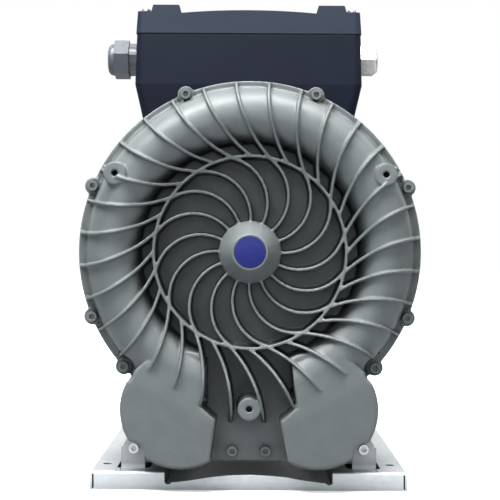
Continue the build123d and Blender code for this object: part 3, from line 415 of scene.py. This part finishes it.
def sheet_metal(name, colour, rough, stretch, shaded_above=None):
    """Rolled or plated steel with streaks, faint crystals and scuffs, and painted shade darkening hollows and
    crevices.

    Above a given height, where a sheet is bent up, its colour is darkened further as painted shade."""
    edge_radius, streak_depth = 0.0005, 0.00002
    streak_share, hollow_share, crevice_share = 0.25, 0.8, 0.4
    streak_roughness, scuff_roughness, smoothest = 0.16, 0.1, rough - 0.12
    finish, tree, surface = new_finish(name)
    edges = use(tree, rounded_edges, Radius=edge_radius, Wear=0.2)
    sheet = use(tree, rolled_sheet, Stretch=stretch, Spangle=160.0)
    dirt = use(tree, settled_dust, Amount=0.08, Crevice=edges["Crevice"])
    spangled = blend_colours(tree, sheet["Spangle"], dimmed(colour, 0.9), colour)
    streaked = blend_colours(tree, calc(tree, "MULTIPLY", sheet["Streak"], streak_share), spangled,
                             dimmed(colour, 0.72))
    # painted shade: the bent-up parts above this height are darkened
    if shaded_above is not None:
        border, shade_share = 0.002, 0.62
        height = split_axes(tree, object_place(tree))["Z"]
        upright = remap(tree, height, shaded_above - border, shaded_above + border)
        streaked = blend_colours(tree, calc(tree, "MULTIPLY", upright, shade_share), streaked,
                                 dimmed(colour, 0.12))
    # painted shade: colour darkened in hollows and in crevices
    shaded = blend_colours(tree, calc(tree, "MULTIPLY", edges["Hollow Shade"], hollow_share), streaked,
                           dimmed(colour, 0.15))
    crevice_shaded = blend_colours(tree, calc(tree, "MULTIPLY", edges["Crevice"], crevice_share), shaded,
                         dimmed(colour, 0.5))
    feed(tree, surface.inputs["Base Color"], blend_colours(tree, dirt["Mask"], crevice_shaded, METAL_DUST))
    surface.inputs["Metallic"].default_value = 0.9
    spread = calc(tree, "ADD", calc(tree, "MULTIPLY", sheet["Streak"], streak_roughness),
                  calc(tree, "MULTIPLY", sheet["Scuff"], scuff_roughness))
    feed(tree, surface.inputs["Roughness"], calc(tree, "ADD", spread, smoothest))
    give_bump(tree, surface, sheet["Streak"], streak_depth, edges["Normal"])
    return finish


def turned_metal(name, colour, rough, pitch=2500.0):
    """Lathe-turned or ground metal with fine grooves."""
    edge_radius, groove_depth, crevice_share = 0.0004, 0.00002, 0.6
    finish, tree, surface = new_finish(name)
    edges = use(tree, rounded_edges, Radius=edge_radius, Wear=0.3)
    rings = use(tree, turned_rings, Pitch=pitch)
    base = blend_colours(tree, rings["Sweep"], dimmed(colour, 0.85), colour)
    # painted shade: colour darkened in crevices
    darkened = blend_colours(tree, calc(tree, "MULTIPLY", edges["Crevice"], crevice_share), base,
                             dimmed(colour, 0.35))
    feed(tree, surface.inputs["Base Color"], darkened)
    surface.inputs["Metallic"].default_value = 1.0
    feed(tree, surface.inputs["Roughness"],
         remap(tree, rings["Height"], 0.3, 0.7, rough - 0.06, rough + 0.1))
    give_bump(tree, surface, rings["Height"], groove_depth, edges["Normal"])
    return finish


SHADED_ABOVE = 0.0205   # metres off the floor: above it the bent-up parts of the base are darkened, painted shade

# each slot of the record, with its finish
finishes = {
    "casing_paint": cast_paint("satin_grey_green_casting", (0.106, 0.119, 0.121),
                               (0.096, 0.108, 0.110), rough=0.42, wear=0.12, hollow_shade=0.8),
    "badge_blue": moulded("blue_enamel", (0.014, 0.018, 0.115), rough=0.3, scale=900.0,
                          bump=0.00001, radius=0.0004, dust=0.02, gloss=0.12),
    "painted_screws": cast_paint("painted_screw_heads", (0.120, 0.132, 0.131),
                                 (0.090, 0.100, 0.099), rough=0.34, radius=0.0005, dust=0.05,
                                 grain=0.2),
    "zinc_screws": turned_metal("zinc_plated_steel", (0.62, 0.64, 0.66), rough=0.40),
    "galvanised_sheet": sheet_metal("galvanised_steel_sheet", (0.92, 0.95, 0.96), rough=0.48,
                                    stretch=(30.0, 700.0, 700.0), shaded_above=SHADED_ABOVE),
    "silencer_paint": cast_paint("black_silencer_paint", (0.030, 0.032, 0.034),
                                 (0.020, 0.021, 0.023), rough=0.45),
    "acoustic_foam": moulded("acoustic_foam", (0.03, 0.03, 0.03), rough=0.9, scale=260.0,
                             bump=0.0012, radius=0.001, dust=0.2),
    "motor_paint": cast_paint("motor_paint", (0.036, 0.043, 0.055), (0.027, 0.032, 0.042),
                              rough=0.42),
    "electrical_steel": sheet_metal("stacked_core_sheets", (0.30, 0.31, 0.33), rough=0.5,
                                    stretch=(400.0, 3000.0, 400.0)),
    "copper_winding": turned_metal("enamelled_copper", (0.55, 0.20, 0.07), rough=0.3,
                                   pitch=1200.0),
    "raw_aluminium": cast_paint("bare_cast_aluminium", (0.62, 0.63, 0.64), (0.50, 0.51, 0.52),
                                rough=0.42, bare=(0.75, 0.76, 0.77)),
    "shaft_steel": turned_metal("ground_shaft_steel", (0.60, 0.61, 0.63), rough=0.22),
    "bearing_steel": turned_metal("polished_bearing_steel", (0.72, 0.73, 0.75), rough=0.12),
    "spring_steel": turned_metal("phosphated_spring_steel", (0.16, 0.16, 0.17), rough=0.4),
    "seal_rubber": moulded("nitrile_rubber", (0.022, 0.022, 0.023), rough=0.55, scale=1800.0),
    "fan_plastic": moulded("black_fan_nylon", (0.035, 0.036, 0.038), rough=0.45),
    "fan_cover_paint": moulded("fan_cover_powder_coat", (0.040, 0.047, 0.060), rough=0.42),
    "box_paint": moulded("terminal_box_powder_coat", (0.006, 0.008, 0.0155), rough=0.5,
                         scale=1300.0, bump=0.00007, gloss=0.1),
    # painted light: the lid's paint is a lighter, glossier copy of the box paint
    "lid_paint": moulded("lid_powder_coat_painted_light", (0.014, 0.019, 0.032), rough=0.46,
                         scale=1300.0, bump=0.00007, gloss=0.22),
    "gasket_rubber": moulded("gasket_rubber", (0.015, 0.015, 0.016), rough=0.7, scale=900.0),
    "terminal_plastic": moulded("terminal_block_resin", (0.62, 0.58, 0.47), rough=0.5),
    "stud_brass": turned_metal("terminal_brass", (0.78, 0.56, 0.24), rough=0.25),
    "gland_plastic": moulded("gland_nylon", (0.060, 0.068, 0.080), rough=0.36, scale=2200.0,
                             bump=0.00003),
    "gland_nickel": turned_metal("nickel_plate", (0.80, 0.78, 0.74), rough=0.30, pitch=3500.0),
}

slot_of = {part["node"]: part["material_slot"] for part in frame["record"]["subparts"]}
OWN_FINISH = {"box_lid": "lid_paint"}     # nodes that differ from their slot: the lid takes a lighter, glossier copy of the box paint as painted light
for name, piece in frame["nodes"].items():
    piece.data.materials.clear()
    piece.data.materials.append(finishes[OWN_FINISH.get(name, slot_of[name])])


# ---------------------------------------------------------------- closed meshes
def close_tube(form, rings):
    """Faces between equal closed sections in a row, and a cap on each end."""
    for ring, following in zip(rings, rings[1:]):
        for k in range(len(ring)):
            after = (k + 1) % len(ring)
            form.faces.new((ring[k], following[k], following[after], ring[after]))
    form.faces.new(rings[0])
    form.faces.new(list(reversed(rings[-1])))


def finish_mesh(form, name):
    """Turns a drawn form into a mesh and frees it."""
    mesh = bpy.data.meshes.new(name)
    form.to_mesh(mesh)
    form.free()
    return mesh


# ---------------------------------------------------------------- cast cover
# all in millimetres off the shaft line, and ahead of the joint face
FLANGE_AHEAD, CREST_AHEAD = 8.0, 44.9
CHANNEL_RADIUS, CHANNEL_OUTSIDE, CHANNEL_STRAIGHT = 134.0, 26.0, 19.0
CREST_MARGIN = 0.4                # a lobe's face stays this much under the channel
LOBE_X, LOBE_Z, LOBE_RADIUS, LOBE_ROUND = 67.0, -153.0, 58.2, 3.5
LOBE_FOOT, LOBE_LOWEST = 2.0, 3.0
LOBE_STEPS = 288
FACE_SHARES = [0.12, 0.25, 0.38, 0.5, 0.6, 0.7, 0.79, 0.87, 0.94, 1.0]
ROUND_TURNS = [math.radians(a) for a in (18, 36, 54, 72, 90)]
FOLD, FOLD_ANGLE, FOLD_SOFT, FOLD_SLOPE = 162.0, math.radians(28), 7.0, 0.105

# outline of the sunk web between the lobes, on the left and on the right
WEB_EDGES = {
    -1: [(-37, -222), (-37, -199), (-32, -162), (-47.3, -148.7), (-44.2, -120.1), (-49.5, -86.9)],
    1: [(37, -222), (37, -199), (30, -163), (45.5, -149), (39, -90)],
}

# x, z and radius of what a lobe keeps clear of: the base's tab, and the flange screw's pocket
CLEARED = ((115.0, -197.0, 12.8), (124.4, -114.0, 13.0))

# radius and height of the skirt's section, and where it begins and ends, anticlockwise
SKIRT_SECTION = [(150, 4), (163.4, 4), (163.4, 9.4), (156, 27.2), (150, 27.2)]
SKIRT_START, SKIRT_END, SKIRT_STEPS = -37.5, 217.5, 240

APRON_HALF, APRON_TOP, ARCH_TOP, ARCH_SAG, ARCH_STEP = 66, -196, -207.2, 3.3, 6
BOSS_STUB = [(138.0, 78.0), (145.4, 82.3), (144.0, 84.9), (136.6, 80.6)]
CREST_FACET = [(136.6, 65.9), (127.1, 51.5), (151.0, 47.0), (148.0, 60.0)]
STUB_AHEAD, FACET_AHEAD = [22.0] * 4, [34.0, 34.0, 8.5, 12.0]
PLATE_FOOT = 2.0

CAST_VOXEL = 0.0009               # metres
CAST_SOFTNESS, CAST_PASSES, CAST_KEPT = 0.5, 3, 0.3


def on_casing(x, ahead, z):
    """A point of the casing, from millimetres off the shaft line and ahead of the joint face."""
    return Vector((x * MM, JOINT_Y - ahead * MM, AXIS_Z + z * MM))


def lobe_height(x, z, side):
    """How far ahead a lobe's face stands: flush with the channel's crest, then leaning back."""
    past = side * x * math.sin(FOLD_ANGLE) - z * math.cos(FOLD_ANGLE) - FOLD
    if past > FOLD_SOFT:
        drop = past
    else:
        drop = max(0.0, past + FOLD_SOFT) ** 2 / (4 * FOLD_SOFT)
    height = CREST_AHEAD - FOLD_SLOPE * drop
    inside = CHANNEL_RADIUS - math.hypot(x, z)
    if inside > 0:
        bulge = math.sqrt(max(0.0, CHANNEL_OUTSIDE ** 2 - inside ** 2))
        height = min(height, CHANNEL_STRAIGHT + bulge - CREST_MARGIN)
    return height


def lobe_reach(side, turn):
    """Distance from a lobe's middle to its rim, which the sunk web cuts short."""
    parallel, touching = 1e-9, 0.001
    reach = LOBE_RADIUS
    ray = (math.cos(turn), math.sin(turn))
    corners = WEB_EDGES[side]
    for (ax, az), (bx, bz) in zip(corners, corners[1:]):
        ax, bx = ax - side * LOBE_X, bx - side * LOBE_X
        az, bz = az - LOBE_Z, bz - LOBE_Z
        ex, ez = bx - ax, bz - az
        det = ez * ray[0] - ex * ray[1]
        if abs(det) < parallel:
            continue
        along = (ax * ez - az * ex) / det
        share = (ax * ray[1] - az * ray[0]) / det
        if along > 0 and -touching <= share <= 1 + touching:
            reach = min(reach, along)
    for x, z, radius in CLEARED:
        x, z = side * (x - LOBE_X), z - LOBE_Z
        near = ray[0] * x + ray[1] * z
        inside = near ** 2 - x ** 2 - z ** 2 + radius ** 2
        if near > 0 and inside > 0:
            reach = min(reach, near - math.sqrt(inside))
    return reach


def add_lobe(form, side):
    """One closed lobe: a soft-edged face over straight walls down into the flange."""
    top = lobe_height(side * LOBE_X, LOBE_Z, side)
    crown = form.verts.new(on_casing(side * LOBE_X, top, LOBE_Z))
    rings = []
    for step in range(LOBE_STEPS):
        turn = 2 * math.pi * step / LOBE_STEPS
        reach = lobe_reach(side, turn)
        flat = reach - LOBE_ROUND
        column = [(flat * share, 0.0) for share in FACE_SHARES]
        column += [(flat + LOBE_ROUND * math.sin(a), LOBE_ROUND * (1 - math.cos(a)))
                   for a in ROUND_TURNS]
        column.append((reach, None))
        ring = []
        for distance, drop in column:
            x = side * LOBE_X + distance * math.cos(turn)
            z = LOBE_Z + distance * math.sin(turn)
            if drop is None:
                ahead = LOBE_FOOT
            else:
                ahead = max(LOBE_LOWEST, lobe_height(x, z, side) - drop)
            ring.append(form.verts.new(on_casing(x, ahead, z)))
        rings.append(ring)
    floor = form.verts.new(on_casing(side * LOBE_X, LOBE_FOOT, LOBE_Z))
    for ring, following in zip(rings, rings[1:] + rings[:1]):
        form.faces.new((crown, following[0], ring[0]))
        form.faces.new((floor, ring[-1], following[-1]))
        for k in range(len(ring) - 1):
            form.faces.new((ring[k], following[k], following[k + 1], ring[k + 1]))


def add_skirt(form):
    """Cone where the channel's outer wall runs out into the flange, open over the web."""
    rings = []
    for step in range(SKIRT_STEPS + 1):
        turn = math.radians(SKIRT_START + (SKIRT_END - SKIRT_START) * step / SKIRT_STEPS)
        rings.append([form.verts.new(on_casing(r * math.cos(turn), ahead, r * math.sin(turn)))
                      for r, ahead in SKIRT_SECTION])
    close_tube(form, rings)


def add_plate(form, outline, low, tops):
    """A closed plate from a flat back to a front with its own depth ahead at each corner."""
    front = [form.verts.new(on_casing(x, top, z)) for (x, z), top in zip(outline, tops)]
    back = [form.verts.new(on_casing(x, low, z)) for x, z in outline]
    form.faces.new(front)
    form.faces.new(list(reversed(back)))
    for k in range(len(outline)):
        after = (k + 1) % len(outline)
        form.faces.new((front[k], back[k], back[after], front[after]))


def add_apron(form):
    """The edge below the web, arched over the base's cut-out."""
    arch = [(x, ARCH_TOP - ARCH_SAG * (x / APRON_HALF) ** 2)
            for x in range(-APRON_HALF, APRON_HALF + 1, ARCH_STEP)]
    outline = [(APRON_HALF, APRON_TOP), (-APRON_HALF, APRON_TOP)] + arch
    add_plate(form, outline, 0.0, [FLANGE_AHEAD] * len(outline))


def cast_cover():
    """The cover with its lobes, skirt and arched apron, fused and softened like a casting."""
    form = bmesh.new()
    for side in (-1, 1):
        add_lobe(form, side)
    add_skirt(form)
    add_apron(form)
    for side in (-1, 1):
        for outline, tops in ((BOSS_STUB, STUB_AHEAD), (CREST_FACET, FACET_AHEAD)):
            add_plate(form, [(side * x, z) for x, z in outline], PLATE_FOOT, tops)
    bmesh.ops.recalc_face_normals(form, faces=form.faces)
    form.from_mesh(frame["nodes"]["front_cover"].data)
    rough = add_object("rough_cover", finish_mesh(form, "rough_cover"))
    fuse = rough.modifiers.new("fuse", "REMESH")
    fuse.mode = "VOXEL"
    fuse.voxel_size = CAST_VOXEL
    soften = rough.modifiers.new("soften", "SMOOTH")
    soften.factor = CAST_SOFTNESS
    soften.iterations = CAST_PASSES
    thin = rough.modifiers.new("thin", "DECIMATE")
    thin.ratio = CAST_KEPT
    shaped = rough.evaluated_get(bpy.context.evaluated_depsgraph_get())
    ready = bpy.data.meshes.new_from_object(shaped)
    bpy.data.objects.remove(rough)
    cover = add_object("cast_cover", ready)
    for polygon in ready.polygons:
        polygon.use_smooth = True
    ready.materials.clear()
    ready.materials.append(finishes["casing_paint"])
    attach(cover, "blower")
    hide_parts("front_cover")


cast_cover()


# ---------------------------------------------------------------- port threads
THREAD_PITCH, THREAD_DEPTH = 0.00231, 0.0009
THREAD_TURNS, THREAD_STEPS, FADE_STEPS = 8, 72, 30
THREAD_LEAD_IN = 0.6          # pitches from the port's chamfer to the first crest
CREST_SHARE, ROOT_SHARE = 0.06, 0.42     # half widths of crest and root, in pitches
ROOT_SUNK = 0.0003            # into the port's wall
PORT_CHAMFER = 0.0005


def port_thread(name, mount):
    """Helical crest of the pipe thread in one port, from its face inwards."""
    port_x, port_face, port_z = mount["pos_m"]
    core = mount["dims"]["r_mm"] * MM
    steps = THREAD_TURNS * THREAD_STEPS
    form = bmesh.new()
    rings = []
    for step in range(steps + 1):
        turn = 2 * math.pi * step / THREAD_STEPS
        y = port_face - PORT_CHAMFER - THREAD_PITCH * (THREAD_LEAD_IN + step / THREAD_STEPS)
        crest = -THREAD_DEPTH * min(1.0, step / FADE_STEPS, (steps - step) / FADE_STEPS)
        ring = []
        for reach, shift in ((ROOT_SUNK, -ROOT_SHARE), (crest, -CREST_SHARE),
                             (crest, CREST_SHARE), (ROOT_SUNK, ROOT_SHARE)):
            radius = core + reach
            ring.append(form.verts.new((port_x + radius * math.cos(turn), y + shift * THREAD_PITCH,
                                        port_z + radius * math.sin(turn))))
        rings.append(ring)
    close_tube(form, rings)
    bmesh.ops.recalc_face_normals(form, faces=form.faces)
    mesh = finish_mesh(form, name)
    mesh.materials.append(finishes["silencer_paint"])
    thread = add_object(name, mesh)
    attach(thread, "blower")


port_thread("port_thread_left", mounts["port_left"])
port_thread("port_thread_right", mounts["port_right"])


# ---------------------------------------------------------------- floor and backdrop
FLOOR_RADIUS, FLOOR_SEGMENTS = 9.0, 96
# footprint where the floor's glow is left out: painted shadow under the machine
FOOTPRINT_Y, FOOTPRINT_HALF_X, FOOTPRINT_HALF_Y = 0.010, 0.150, 0.140
FOOTPRINT_FADE = 0.03
GLOW_NEAR, GLOW_FAR, NEAR_REACH, FAR_REACH = 0.72, 1.1, 0.5, 1.8
FLOOR_BOUNCE = (0.30, 0.31, 0.32)     # what the machine sees of the floor
SKY_TINT = (0.95, 0.98, 1.0, 1)
WHITE = (1, 1, 1, 1)


def pale_floor():
    """A pale floor that glows for the camera, brighter outwards, with the glow left out under the machine as
    painted shadow.
    """
    finish, tree, surface = new_finish("pale_studio_floor")
    seen = put(tree, "LightPath").outputs["Is Camera Ray"]
    place = object_place(tree)
    cloud = put(tree, "TexNoise", Vector=place, Scale=3.0, Detail=3.0)
    shade = remap(tree, cloud.outputs[0], 0.3, 0.7, 0.90, 0.93)
    level = put(tree, "CombineColor", Red=shade, Green=shade, Blue=shade)
    feed(tree, surface.inputs["Base Color"],
         blend_colours(tree, seen, FLOOR_BOUNCE, level.outputs[0]))
    surface.inputs["Roughness"].default_value = 0.9
    surface.inputs["Specular IOR Level"].default_value = 0.1
    surface.inputs["Emission Color"].default_value = WHITE
    apart = split_axes(tree, place)
    # painted shadow: no glow over the machine's footprint, so the floor under it stays dark
    beside = calc(tree, "SUBTRACT", calc(tree, "ABSOLUTE", apart["X"]), FOOTPRINT_HALF_X)
    off_middle = calc(tree, "SUBTRACT", apart["Y"], FOOTPRINT_Y)
    along = calc(tree, "SUBTRACT", calc(tree, "ABSOLUTE", off_middle), FOOTPRINT_HALF_Y)
    clear = remap(tree, calc(tree, "MAXIMUM", beside, along), 0.0, FOOTPRINT_FADE)
    reach = vector_calc(tree, "LENGTH", place).outputs["Value"]
    glow = remap(tree, reach, NEAR_REACH, FAR_REACH, GLOW_NEAR, GLOW_FAR)
    lit = calc(tree, "MULTIPLY", seen, clear)
    feed(tree, surface.inputs["Emission Strength"], calc(tree, "MULTIPLY", lit, glow))
    form = bmesh.new()
    bmesh.ops.create_circle(form, cap_ends=True, segments=FLOOR_SEGMENTS, radius=FLOOR_RADIUS)
    mesh = finish_mesh(form, "floor")
    mesh.materials.append(finish)
    floor = add_object("floor", mesh)


def white_surroundings():
    """White where the camera looks past the floor; for all else brighter above and behind."""
    world = bpy.data.worlds.new("studio")
    world.use_nodes = True
    tree = world.node_tree
    tree.nodes.clear()
    seen = put(tree, "LightPath").outputs["Is Camera Ray"]
    white = put(tree, "Background", Color=WHITE, Strength=1.0)
    way = split_axes(tree, put(tree, "TexCoord").outputs["Generated"])
    backward = remap(tree, way["Y"], -0.1, 0.7, 0.05, 0.75)
    upward = remap(tree, way["Z"], -0.2, 0.6, 0.25, 1.0)
    dim = put(tree, "Background", Color=SKY_TINT,
              Strength=calc(tree, "MULTIPLY", backward, upward))
    both = put_in_order(tree, "MixShader", None, seen, dim.outputs[0], white.outputs[0])
    put(tree, "OutputWorld", Surface=both.outputs[0])
    scene.world = world


pale_floor()
white_surroundings()
